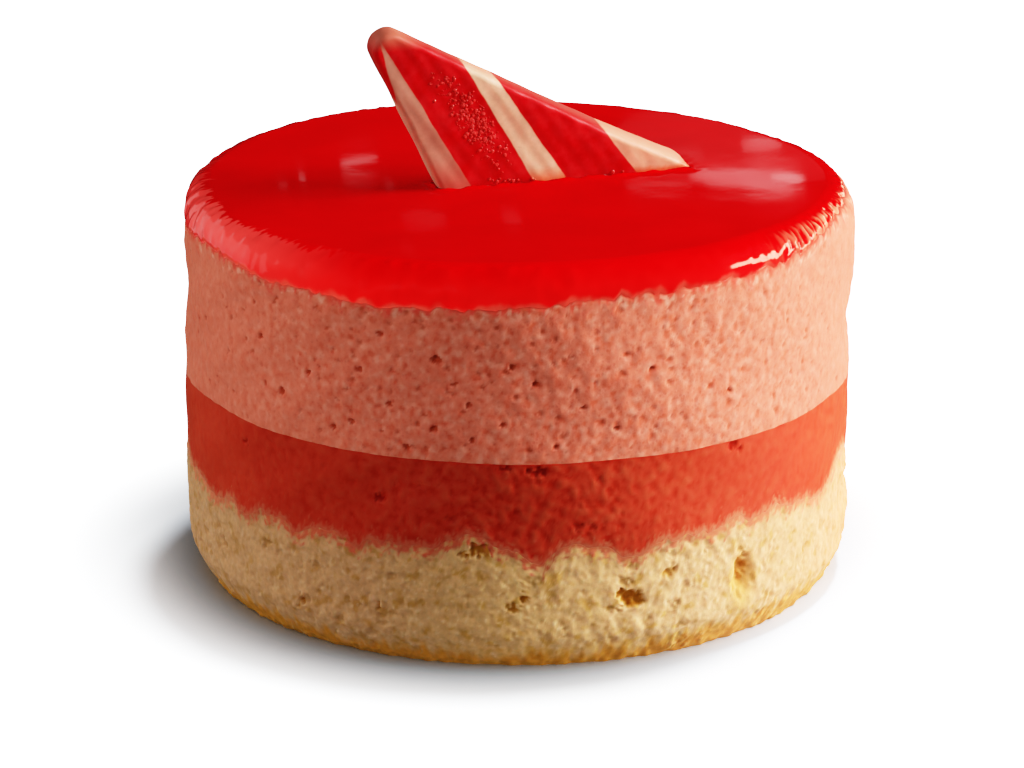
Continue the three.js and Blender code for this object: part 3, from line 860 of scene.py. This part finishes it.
def drop(place, size, height, draw):
    """Flattened bead that sits a little into the face."""
    around, rows, sink = 12, 6, 0.02
    turn = np.linspace(0, 2 * np.pi, around, endpoint=False)
    stretch = 0.8 + 0.5 * draw()
    tilt = draw() * np.pi
    rings = []
    for rise in np.linspace(-0.35 * np.pi, 0.42 * np.pi, rows):
        reach = size * np.cos(rise)
        x, y = reach * np.cos(turn) * stretch, reach * np.sin(turn)
        rings.append(np.stack([
            place[0] + x * np.cos(tilt) - y * np.sin(tilt),
            place[1] + x * np.sin(tilt) + y * np.cos(tilt),
            np.full(around, height * np.sin(rise) + sink)], axis=1))
    return capped([*place, -height + sink], np.stack(rings), [*place, height + sink])


def bead_places(random):
    """Place, size and height of each bead on the front face, with the drops at its foot last."""
    draw = random.random
    for _ in range(BEAD_TRIES):
        rise = random.normal(8.3, 2.9)
        across = 2.9 + random.normal(0, 1.2) - 0.66 * (rise - 9.0)
        too_far = across > min(10.4 - 0.6 * rise, (14.4 - rise) / 0.54)
        if too_far or across < 4.6 - 0.61 * rise or rise < 0.6:
            continue
        size = 0.08 + 0.16 * draw() ** 2
        yield (across, rise), size, size * (0.45 + 0.3 * draw())
    for place in FOOT_DROPS:
        size = 0.13 + 0.12 * draw()
        yield place, size, size * 0.8


def make_plate():
    outline = rounded_outline()
    ahead = np.roll(outline, -1, axis=0) - np.roll(outline, 1, axis=0)
    inward = np.stack([-ahead[:, 1], ahead[:, 0]], axis=1)
    inward /= np.linalg.norm(inward, axis=1)[:, None]
    thickness = plate_depth(outline[:, 0])
    quarter = np.linspace(0, np.pi / 2, 7)
    face_shares = join([0.02], np.linspace(0.06, 0.985, 34))
    rings = []

    def ring(points, depth):
        rings.append(np.column_stack([points, np.broadcast_to(depth, PLATE_STEPS)]))

    def rounded(turn):
        return outline + inward * PLATE_ROUND * (1 - np.sin(turn))

    def face(share):
        return PLATE_MIDDLE + (rounded(0) - PLATE_MIDDLE) * share

    # Back face from its middle out, then the rounded edge, then the front face back to its middle
    for share in face_shares:
        ring(face(share), -plate_depth(face(share)[:, 0]))
    for turn in quarter:
        ring(rounded(turn), -thickness + PLATE_ROUND * (1 - np.cos(turn)))
    for share in (0.25, 0.5, 0.75):
        ring(outline, -thickness + PLATE_ROUND + (thickness - 2 * PLATE_ROUND) * share)
    for turn in quarter[::-1]:
        ring(rounded(turn), -PLATE_ROUND * (1 - np.cos(turn)))
    for share in face_shares[::-1]:
        ring(face(share), 0.0)
    count = len(rings)
    back_middle = [*PLATE_MIDDLE, -plate_depth(PLATE_MIDDLE[0])]
    body, quads, triangles = capped(back_middle, np.stack(rings), [*PLATE_MIDDLE, 0.0])

    # Bare edge, which starts halfway round the front's rounding, and its left end, which gets its own
    # colours as painted shade
    back_rows = len(face_shares) + len(quarter) + 3
    rim = np.zeros((count, PLATE_STEPS))
    rim[len(face_shares):back_rows] = 1.0
    rim[back_rows - 2:back_rows] = [[0.9], [0.45]]
    front_rows = ramp(quarter[::-1] / (np.pi / 2), 0.35, 0.8)
    rim[back_rows:back_rows + len(quarter)] = 0.3 * front_rows[:, None]
    left_end_shade = np.tile(ramp(inward[:, 0], 0.45, 0.8), count)

    # Beads of moisture on the front face
    random = np.random.default_rng(71)
    parts = [(hand_made(body), quads, triangles, np.zeros(len(body)))]
    first = len(body)
    for bead in bead_places(random):
        points, quads, triangles = drop(*bead, random.random)
        parts.append((hand_made(points), quads + first, triangles + first, np.ones(len(points))))
        first += len(points)
    local, quads, triangles, wet = (np.concatenate(part) for part in zip(*parts))
    edge = np.zeros_like(local)
    edge[1:1 + rim.size, 0] = rim.ravel()
    edge[1:1 + rim.size, 1] = rim.ravel() * left_end_shade
    face_values = np.stack([local[:, 0], local[:, 1], wet], axis=1)
    return make_mesh("striped_chocolate", plate_to_cake(local), quads, triangles,
                     vectors={"face": face_values, "edge": edge})


# Materials


class Nodes:
    """Short way to build the nodes of a material or of the world."""

    def __init__(self, owner):
        owner.use_nodes = True
        self.owner = owner
        self.tree = owner.node_tree

    def add(self, kind, inputs=None, **settings):
        node = self.tree.nodes.new(kind)
        for key, value in settings.items():
            setattr(node, key, value)
        for key, value in (inputs or {}).items():
            self.put(node.inputs[key], value)
        return node

    def put(self, socket, value):
        if isinstance(value, bpy.types.NodeSocket):
            self.tree.links.new(value, socket)
        else:
            socket.default_value = value

    def set(self, **values):
        shader = self.tree.nodes["Principled BSDF"]
        for key, value in values.items():
            self.put(shader.inputs[key.replace("_", " ")], value)

    def place(self, kind="Object"):
        return self.add("ShaderNodeTexCoord").outputs[kind]

    def noise(self, period, detail=2.0, roughness=0.5):
        """Noise with features of a size in millimetres."""
        node = self.add("ShaderNodeTexNoise", {
            "Vector": self.place(), "Scale": 1.0 / (period * MM), "Detail": detail, "Roughness": roughness})
        return node.outputs["Fac"]

    def cells(self, period):
        """Distance from the middle of cells of a size in millimetres."""
        node = self.add("ShaderNodeTexVoronoi", {"Vector": self.place(), "Scale": 1.0 / (period * MM)})
        return node.outputs["Distance"]

    def pits(self, period):
        return self.range(self.cells(period), 0.12, 0.36)

    def math(self, operation, first, second=0.0, third=0.0):
        return self.add("ShaderNodeMath", {0: first, 1: second, 2: third}, operation=operation).outputs[0]

    def range(self, value, low, high, to_low=0.0, to_high=1.0):
        node = self.add("ShaderNodeMapRange", {
            "Value": value, "From Min": low, "From Max": high, "To Min": to_low, "To Max": to_high})
        return node.outputs["Result"]

    def mix(self, share, first, second, kind="MIX"):
        node = self.add("ShaderNodeMix", data_type="RGBA", blend_type=kind)
        for key, value in (("Factor", share), (6, first), (7, second)):
            self.put(node.inputs[key], (*value, 1.0) if isinstance(value, np.ndarray) else value)
        return node.outputs[2]

    def split(self, vector):
        return self.add("ShaderNodeSeparateXYZ", {"Vector": vector}).outputs

    def level(self, shade, red=None):
        """Colour of a shade, with another value for red if given."""
        node = self.add("ShaderNodeCombineColor", {"Red": red or shade, "Green": shade, "Blue": shade})
        return node.outputs["Color"]

    def attribute(self, name, output):
        return self.add("ShaderNodeAttribute", attribute_name=name).outputs[output]

    def shaded(self, shade, red=None):
        """Colour of the points, lighter and darker by a shade."""
        return self.mix(1.0, self.attribute("colour", "Color"), self.level(shade, red), "MULTIPLY")

    def flesh(self, tone, rough, weight, reach, radius, shine):
        """Food that light enters a little way, with its reach in millimetres."""
        self.set(Base_Color=tone, Roughness=rough, Subsurface_Weight=weight, Subsurface_Scale=reach * MM,
                 Subsurface_Radius=radius, Specular_IOR_Level=shine)

    def bumps(self, *layers):
        """Bumps on top of each other: value, and depth in millimetres of each."""
        below = {}
        for value, depth in layers:
            node = self.add("ShaderNodeBump", {
                "Height": value, "Strength": 1.0, "Distance": depth * MM, **below})
            below = {"Normal": node.outputs["Normal"]}
        self.set(**below)


def layer_material(name, grain, second, red_power, surface, depths):
    """Grain and a second texture that make the points' colours lighter and darker between two levels."""
    nodes = Nodes(bpy.data.materials.new(name))
    fine = nodes.noise(grain[0], 3.0, 0.6)
    kind, size, *levels = second
    texture = getattr(nodes, kind)(size)
    shade = nodes.math("MULTIPLY", nodes.range(fine, 0.3, 0.7, *grain[1:]), nodes.range(texture, *levels))
    red = nodes.math("POWER", shade, red_power) if red_power < 1 else shade
    nodes.flesh(nodes.shaded(shade, red), *surface)
    nodes.bumps(*zip((fine, texture), depths))
    return nodes.owner


def sponge_material():
    return layer_material("sponge_crumb", (0.5, 0.93, 1.07), ("cells", 0.7, 0.1, 0.6, 0.96, 1.03), 1,
                          (0.85, 0.35, 0.7, (1.0, 0.6, 0.3), 0.15), (0.014, 0.01))


def strawberry_material():
    return layer_material("strawberry_cream", (0.6, 0.94, 1.06), ("noise", 3.5, 0.3, 0.7, 0.93, 1.07), 0.4,
                          (0.5, 0.3, 0.8, (1.0, 0.25, 0.15), 0.3), (0.006,))


def mousse_material():
    return layer_material("strawberry_mousse", (0.42, 0.93, 1.06), ("pits", 0.6, 0.0, 1.0, 0.9, 1.01), 0.5,
                          (0.6, 0.25, 0.5, (1.0, 0.4, 0.25), 0.2), (0.009, 0.007))


def glaze_material():
    nodes = Nodes(bpy.data.materials.new("strawberry_glaze"))
    cloud = nodes.noise(9.0)
    nodes.set(Base_Color=nodes.shaded(nodes.range(cloud, 0.35, 0.65, 0.95, 1.05)),
              Roughness=nodes.range(cloud, 0.3, 0.7, 0.03, 0.06), IOR=1.45)
    nodes.bumps((nodes.noise(4.0), 0.004))
    return nodes.owner


# Borders of the stripes on the plate: place across at the foot, and shift for each mm up
STRIPE_BORDERS = [(-2.36, -0.289), (3.62, -0.61), (11.0, -0.6), (14.89, -0.692), (23.17, -0.743)]
# Pale stripes from left to right; the first is painted darker and pinker, as painted shade
STRIPE_COLOURS_AND_SHADE = [rgb(0.56, 0.26, 0.18), rgb(0.83, 0.51, 0.33), rgb(0.89, 0.39, 0.25)]
PLATE_REDS = [rgb(0.6, 0.004, 0.008), rgb(0.66, 0.022, 0.026)]
GEL_COLOURS = [rgb(0.6, 0.085, 0.065), rgb(0.82, 0.1, 0.03)]
EDGE_RED = rgb(0.6, 0.1, 0.075)
EDGE_PALE = rgb(0.84, 0.28, 0.18)
# Colours of the left end: painted shade
END_SHADE_RED = rgb(0.5, 0.045, 0.035)
END_SHADE_PALE = rgb(0.8, 0.42, 0.28)
TIP_ORANGE = rgb(0.62, 0.17, 0.11)
BEAD_RED = rgb(0.85, 0.12, 0.1)


def chocolate_material():
    nodes = Nodes(bpy.data.materials.new("striped_chocolate"))
    across, up, wet = nodes.split(nodes.attribute("face", "Vector"))
    across = nodes.math("ADD", across, nodes.range(nodes.noise(3.0), 0.0, 1.0, -0.2, 0.2))
    sides = []
    for start, shift in STRIPE_BORDERS:
        border = nodes.math("MULTIPLY_ADD", up, shift, start)
        sides.append(nodes.range(nodes.math("SUBTRACT", across, border), -0.09, 0.09))
    first = nodes.math("MULTIPLY", nodes.math("SUBTRACT", sides[0], sides[1]), nodes.range(up, 18.6, 17.2))
    second = nodes.math("SUBTRACT", sides[2], sides[3])
    mottle = nodes.noise(1.3, 3.0, 0.6)
    red = nodes.mix(nodes.range(mottle, 0.35, 0.7), *PLATE_REDS)
    fleck = nodes.level(nodes.range(nodes.noise(1.0, 3.0, 0.6), 0.4, 0.72, 0.92, 1.08))
    cream = nodes.mix(sides[2], *STRIPE_COLOURS_AND_SHADE[:2])
    cream = nodes.mix(sides[4], cream, STRIPE_COLOURS_AND_SHADE[2])
    cream = nodes.mix(1.0, cream, fleck, "MULTIPLY")
    # Red gel creeps up the foot of the pale stripes
    reach = nodes.math("SUBTRACT", nodes.range(sides[1], 0.0, 1.0, 4.2, 1.9), sides[4])
    ragged = nodes.math("ADD", up, nodes.range(mottle, 0.0, 1.0, -0.5, 0.5))
    foot = nodes.range(ragged, 0.3, reach, 0.85, 0.0)
    cream = nodes.mix(foot, cream, nodes.mix(sides[1], *GEL_COLOURS))
    tone = red
    for stripe in (first, second, sides[4]):
        tone = nodes.mix(stripe, tone, cream)
    # Bare edge
    edge = nodes.split(nodes.attribute("edge", "Vector"))
    pale = nodes.math("ADD", nodes.math("ADD", first, second), sides[4])
    tone = nodes.mix(nodes.math("MULTIPLY", edge["X"], 0.85), tone, nodes.mix(pale, EDGE_RED, EDGE_PALE))
    # Left end in its own colours, so that it shades like the front face beside it: painted shade
    tone = nodes.mix(edge["Y"], tone, nodes.mix(first, END_SHADE_RED, END_SHADE_PALE))
    # Orange where the coating is thin at the tip
    tone = nodes.mix(nodes.range(up, 17.0, 18.7, 0.0, 0.9), tone, TIP_ORANGE)
    # Beads scatter the light and look paler than the red below them
    tone = nodes.mix(nodes.math("MULTIPLY", wet, 0.4), tone, BEAD_RED)
    rough = nodes.mix(wet, rgb(0.42, 0.42, 0.42), rgb(0.08, 0.08, 0.08))
    nodes.flesh(tone, rough, 0.12, 0.6, (1.0, 0.5, 0.3), 0.4)
    nodes.bumps((mottle, 0.012))
    return nodes.owner


# Pieces

PIECES = [
    # maker, material, solid that it stands for, and finish
    (make_sponge, sponge_material, "sponge_base", "sponge"),
    (make_strawberry, strawberry_material, "strawberry_layer", "strawberry_cream"),
    (make_mousse, mousse_material, "mousse_layer", "mousse"),
    (make_glaze, glaze_material, "glaze", "glaze"),
    (make_plate, chocolate_material, "chocolate_shard", "chocolate"),
]


def add_pieces():
    for make, material, node, finish in PIECES:
        piece = make()
        piece.data.materials.append(material())
        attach(piece, "root")
        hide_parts(node)
        piece.visible_glossy = False


# Camera and floor

FLOOR_HALF = 1500.0
FLOOR_HEIGHT = -0.03
FLOOR_GLOW = 4.2
FLOOR_GLOW_START = 35.5
FLOOR_GLOW_END = 53.0
# The shadow is narrower at the front left and wider at the back left: direction, power and distance.
# The last one also marks where the floor is painted darker: a painted shadow.
FLOOR_SHIFTS = [
    (-0.707, -0.707, 3.0, 1.4), (0.9, -0.43, 3.0, 10.0),
    (-0.1, -0.995, 6.0, 0.8), (-0.866, 0.5, 6.0, -3.0),
]
# Floor colour below the cake is darker and bluer: painted shade
FLOOR_COLOURS = [rgb(0.66, 0.8, 0.97), rgb(0.8, 0.86, 0.91)]  # below the cake, and away from it


def add_camera():
    data = bpy.data.cameras.new("camera")
    data.lens = CAMERA_LENS
    data.sensor_width = 36.0
    camera = add_object("camera", data)
    rise = np.radians(CAMERA_ELEVATION)
    back = np.array([0.0, -np.cos(rise), np.sin(rise)])
    camera.location = Vector((np.array(CAMERA_TARGET) + back * CAMERA_DISTANCE) * MM)
    camera.rotation_euler = (np.pi / 2 - rise, 0.0, 0.0)
    data.clip_start, data.clip_end = 0.01, 10.0
    bpy.context.scene.camera = camera


def floor_material():
    """White all round from a painted glow away from the cake, which leaves the shadow close to it alone;
    painted shade darkens it at the back left and below the cake.
    """
    nodes = Nodes(bpy.data.materials.new("floor"))
    x, y, _ = nodes.split(nodes.place())
    away = nodes.math("SQRT", nodes.math("ADD", nodes.math("MULTIPLY", x, x), nodes.math("MULTIPLY", y, y)))
    edge = away
    for towards_x, towards_y, power, shift in FLOOR_SHIFTS:
        part = nodes.math("ADD", nodes.math("MULTIPLY", x, towards_x), nodes.math("MULTIPLY", y, towards_y))
        part = nodes.math("MAXIMUM", nodes.math("DIVIDE", part, nodes.math("ADD", away, MM)), 0.0)
        part = nodes.math("POWER", part, power)
        edge = nodes.math("MULTIPLY_ADD", part, shift * MM, edge)
    dim = nodes.math("MULTIPLY", part, nodes.range(away, 46.0 * MM, 58.0 * MM, 0.5, 0.0))
    glow = nodes.range(edge, FLOOR_GLOW_START * MM, FLOOR_GLOW_END * MM)
    glow = nodes.math("MULTIPLY", nodes.math("MULTIPLY", glow, glow), FLOOR_GLOW)
    base = nodes.mix(nodes.range(away, 37.0 * MM, 43.0 * MM), *FLOOR_COLOURS)
    nodes.set(Base_Color=nodes.mix(dim, base, rgb(0.0, 0.0, 0.0)), Roughness=0.9, Specular_IOR_Level=0.0,
              Emission_Color=(1.0, 1.0, 1.0, 1.0), Emission_Strength=glow)
    return nodes.owner


def add_floor():
    half, height = FLOOR_HALF, FLOOR_HEIGHT
    points = [(-half, -half, height), (half, -half, height), (half, half, height), (-half, half, height)]
    floor = make_mesh("floor", points, [(0, 1, 2, 3)], [])
    floor.data.materials.append(floor_material())
    floor.visible_diffuse = floor.visible_glossy = floor.visible_shadow = False
    return floor


# Light

LIGHT_AIM = (0, 0, 30)
WARM_LIGHTS = {"key_shine": (1.0, 0.9, 0.66), "back_shine": (1.0, 0.86, 0.58)}
LIGHTS = [
    # name, azimuth from the camera's side, elevation, distance, size, radiance, pieces, what it shows as
    ("key", 90, 27, 900, (540, 480), 42, "body", "diffuse"),
    ("key_bounce", 88, -24, 900, (600, 480), 13, "body", "diffuse"),
    ("key_above", 90, 27, 300, (200, 160), 39, "above", "diffuse"),
    ("key_above_bounce", 88, -24, 300, (210, 160), 13.5, "above", "diffuse"),
    ("key_shine", 93, 12, 300, (200, 60), 32, "glaze", "glossy"),
    ("plate_shine", 93, 27, 300, (60, 60), 60, "plate", "glossy"),
    ("back_right", 155, 12, 330, (150, 90), 12, "cake", "diffuse"),
    ("back_shine", 145, 3, 330, (120, 50), 7, "glaze", "glossy"),
    ("left_panel", -105, 18, 330, (260, 240), 3.6, "cake", "diffuse"),
    ("left_shine", -117, 4, 330, (330, 260), 0.9, "glaze", "glossy"),
    ("front_fill", -40, 10, 420, (300, 220), 5.0, "cake", "diffuse"),
    ("glaze_fill", -35, 14, 420, (300, 220), 9.5, "glaze", "diffuse"),
]
SUNS = [
    # name, azimuth, elevation, width in degrees, level on a surface square to it
    ("floor_high", 140, 77, 7, 2.0),
    ("floor_low", 98, 24, 60, 1.3),
]
REFLECTION_DISTANCE = 300.0
REFLECTION_STEP = 0.5  # later ones stand in front of earlier ones
REFLECTIONS = [
    # across, height, full width, full height, slant down to the right, radiance
    (42, 114, 46, 18, 8, 0.13), (43.5, 120, 22.5, 5.2, 8, 1), (51, 119, 6, 2.6, 0, 1.1),
    (43.5, 122.3, 17, 0.8, 6, 1), (26.5, 124.3, 13, 1.3, 6, 0.6), (30.5, 116.8, 11, 0.9, 14, 0.5),
    (46.8, 111.9, 8, 1.6, 14, 1.7), (41, 117.9, 15, 0.6, 12, 1.3), (47, 121.4, 10, 0.6, 6, 1.5),
    (-29, 127.3, 8.5, 2.4, 24, 1), (-40.2, 131.3, 1.4, 1, 0, 0.9), (-24, 129.9, 2.2, 0.5, 0, 0.6),
    (-44, 132.9, 2, 0.5, 0, 0.5), (-18.5, 135.6, 9, 3, 10, 0.16), (-2, 132.7, 4, 2.6, 0, 0.2),
    (-22.5, 141.3, 3, 0.8, 0, 0.22),
]


def new_light(name, kind, only, **settings):
    """Light for the pieces of one collection."""
    data = bpy.data.lights.new(name, kind)
    for key, value in settings.items():
        setattr(data, key, value)
    light = add_object(name, data)
    light.light_linking.receiver_collection = only
    return light


def area_light(name, shape, size, radiance, only, seen):
    """Area light of a size in millimetres, as bright as a surface of that radiance."""
    width, height = size[0] * MM, size[1] * MM
    filled = np.pi / 4 if shape == "ELLIPSE" else 1.0
    light = new_light(name, "AREA", only, shape=shape, size=width, size_y=height,
                      energy=radiance * np.pi * width * height * filled)
    light.visible_camera = False
    light.visible_diffuse = seen == "diffuse"
    light.visible_glossy = seen == "glossy"
    return light


def turn_to_cake(light, azimuth, elevation):
    """Turns a light to shine from an azimuth from the camera's side and an elevation, and gives its way."""
    turn, rise = np.radians(azimuth), np.radians(elevation)
    away = Vector((np.sin(turn) * np.cos(rise), -np.cos(turn) * np.cos(rise), np.sin(rise)))
    light.rotation_mode = "QUATERNION"
    light.rotation_quaternion = away.to_track_quat("Z", "Y")
    return away


def collection_of(name, objects):
    found = bpy.data.collections.new(name)
    for item in objects:
        found.objects.link(item)
    return found


def add_lights(floor):
    meshes = [item for item in bpy.context.scene.objects if item.type == "MESH" and item is not floor]
    named = {item.name: item for item in meshes}
    glaze, plate = named["strawberry_glaze"], named["striped_chocolate"]
    lit = {
        "cake": meshes, "glaze": [glaze], "plate": [plate], "above": [glaze, plate],
        "body": [named["sponge"], named["strawberry_cream"], named["mousse"]], "floor": [floor],
    }
    lit = {name: collection_of(name + "_lit", objects) for name, objects in lit.items()}
    for name, azimuth, elevation, distance, size, radiance, pieces, seen in LIGHTS:
        light = area_light(name, "RECTANGLE", size, radiance, lit[pieces], seen)
        light.data.color = WARM_LIGHTS.get(name, (1.0, 1.0, 1.0))
        away = turn_to_cake(light, azimuth, elevation)
        light.location = (Vector(LIGHT_AIM) + away * distance) * MM
    for name, azimuth, elevation, width, level in SUNS:
        sun = new_light(name, "SUN", lit["floor"], angle=np.radians(width), energy=level * np.pi)
        turn_to_cake(sun, azimuth, elevation)
    # Upright ellipses behind the cake, which only show as patches in the glaze
    for index, (across, height, width, depth, slant, radiance) in enumerate(REFLECTIONS):
        name = f"reflection_{index}"
        light = area_light(name, "ELLIPSE", (width, depth), radiance, lit["glaze"], "glossy")
        light.location = Vector((across, REFLECTION_DISTANCE - REFLECTION_STEP * index, height)) * MM
        light.rotation_euler = (-np.pi / 2, np.radians(slant), 0)


WORLD_SEEN = 12.0
WORLD_ABOVE = 0.34
WORLD_BELOW = 0.12
WORLD_GLOSS = 0.03


def add_world():
    """White for the camera, a soft light from above for the pieces, and almost nothing to mirror."""
    world = bpy.data.worlds.new("world")
    bpy.context.scene.world = world
    nodes = Nodes(world)
    nodes.tree.nodes.clear()

    def background(strength):
        return nodes.add("ShaderNodeBackground", {"Color": (1, 1, 1, 1), "Strength": strength}).outputs[0]

    def choose(share, first, second):
        return nodes.add("ShaderNodeMixShader", {0: share, 1: first, 2: second}).outputs[0]

    rise = nodes.range(nodes.split(nodes.place("Generated"))["Z"], -0.3, 0.3, WORLD_BELOW, WORLD_ABOVE)
    path = nodes.add("ShaderNodeLightPath").outputs
    light = choose(path["Is Glossy Ray"], background(rise), background(WORLD_GLOSS))
    light = choose(path["Is Camera Ray"], light, background(WORLD_SEEN))
    nodes.add("ShaderNodeOutputWorld", {0: light})


# Response to light: contrast in the shadows, and a shoulder towards white
RESPONSE_CONTRAST = 1.5
RESPONSE_WHITE = 1.09
RESPONSE_RANGE = 5.0


def response(light):
    lifted = light**RESPONSE_CONTRAST
    return RESPONSE_WHITE * lifted / (1 + lifted)


def set_response():
    view = bpy.context.scene.view_settings
    view.view_transform = "Standard"
    view.look = "None"
    view.use_curve_mapping = True
    mapping = view.curve_mapping
    mapping.white_level = (RESPONSE_RANGE,) * 3
    curve = mapping.curves[3]
    curve.points[0].location = (0.0, 0.0)
    curve.points[-1].location = (1.0, min(1.0, response(RESPONSE_RANGE)))
    for low, high, count in ((0.004, 0.1, 10), (0.13, 0.5, 9), (0.6, 0.9, 4)):
        for place in np.linspace(low, high, count):
            curve.points.new(place, response(place * RESPONSE_RANGE))
    mapping.update()


add_camera()
add_pieces()
floor = add_floor()
add_lights(floor)
add_world()
set_response()
